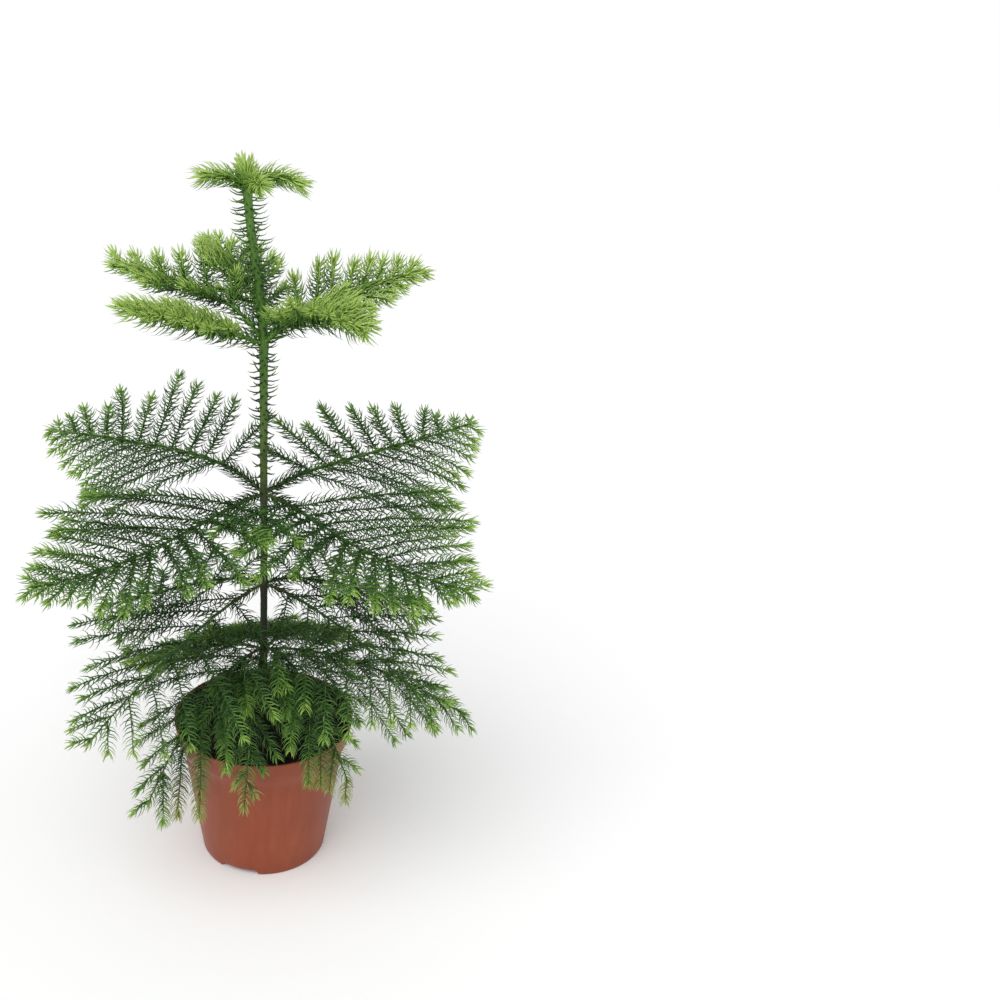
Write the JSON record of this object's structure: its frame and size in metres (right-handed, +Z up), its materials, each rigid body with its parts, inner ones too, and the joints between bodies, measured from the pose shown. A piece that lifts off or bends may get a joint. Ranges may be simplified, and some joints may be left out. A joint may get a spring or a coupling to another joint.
{
  "type": "potted norfolk island pine",
  "caption": "Young potted norfolk island pine: a slim upright stem with tiers of feathery, needle-clad fronds, standing in a round tapered plastic pot.",
  "frame": {"origin": "centre of the pot's flat underside, on the surface that it stands on", "axes": "+Z up along the stem; the widest tier of fronds spreads mainly along X; the side that is usually seen faces -Y"},
  "size_m": [0.3141, 0.2321, 0.501],
  "materials": {
    "terracotta_plastic": "moulded terracotta-coloured polypropylene, satin",
    "peat": "moist dark peat, crumbly",
    "stem_bark": "smooth young bark, green above and brown below",
    "bough_bark": "smooth olive-brown young bark",
    "lime_needles": "fresh lime-green needles, satin",
    "bright_needles": "bright green needles, satin",
    "green_needles": "mid-green needles, satin",
    "dark_needles": "dark green needles, satin"
  },
  "bodies": {
    "root": {"bough2_back": "bough_bark", "bough2_front_left": "bough_bark", "bough2_front_right": "bough_bark", "bough2_left": "bough_bark", "bough2_right": "bough_bark", "bough3_back_left": "bough_bark", "bough3_back_right": "bough_bark", "bough3_front_left": "bough_bark", "bough3_front_right": "bough_bark", "bough4_back_left": "bough_bark", "bough4_back_right": "bough_bark", "bough4_front_left": "bough_bark", "bough4_front_right": "bough_bark", "bough5_back": "bough_bark", "bough5_back_left": "bough_bark", "bough5_back_right": "bough_bark", "bough5_front": "bough_bark", "bough5_front_left": "bough_bark", "bough5_front_right": "bough_bark", "bough5_right": "bough_bark", "foliage1_back": "lime_needles", "foliage1_front": "lime_needles", "foliage1_left": "lime_needles", "foliage1_right": "lime_needles", "foliage2_back": "bright_needles", "foliage2_front_left": "bright_needles", "foliage2_front_right": "bright_needles", "foliage2_left": "bright_needles", "foliage2_right": "bright_needles", "foliage3_back_left": "green_needles", "foliage3_back_right": "green_needles", "foliage3_front_left": "green_needles", "foliage3_front_right": "green_needles", "foliage4_back_left": "dark_needles", "foliage4_back_right": "dark_needles", "foliage4_front_left": "dark_needles", "foliage4_front_right": "dark_needles", "foliage5_back": "dark_needles", "foliage5_back_left": "dark_needles", "foliage5_back_right": "dark_needles", "foliage5_front": "dark_needles", "foliage5_front_left": "dark_needles", "foliage5_front_right": "dark_needles", "foliage5_right": "dark_needles", "leader": "lime_needles", "pot": "terracotta_plastic", "soil": "peat", "trunk": "stem_bark"}
  },
  "joints": []
}
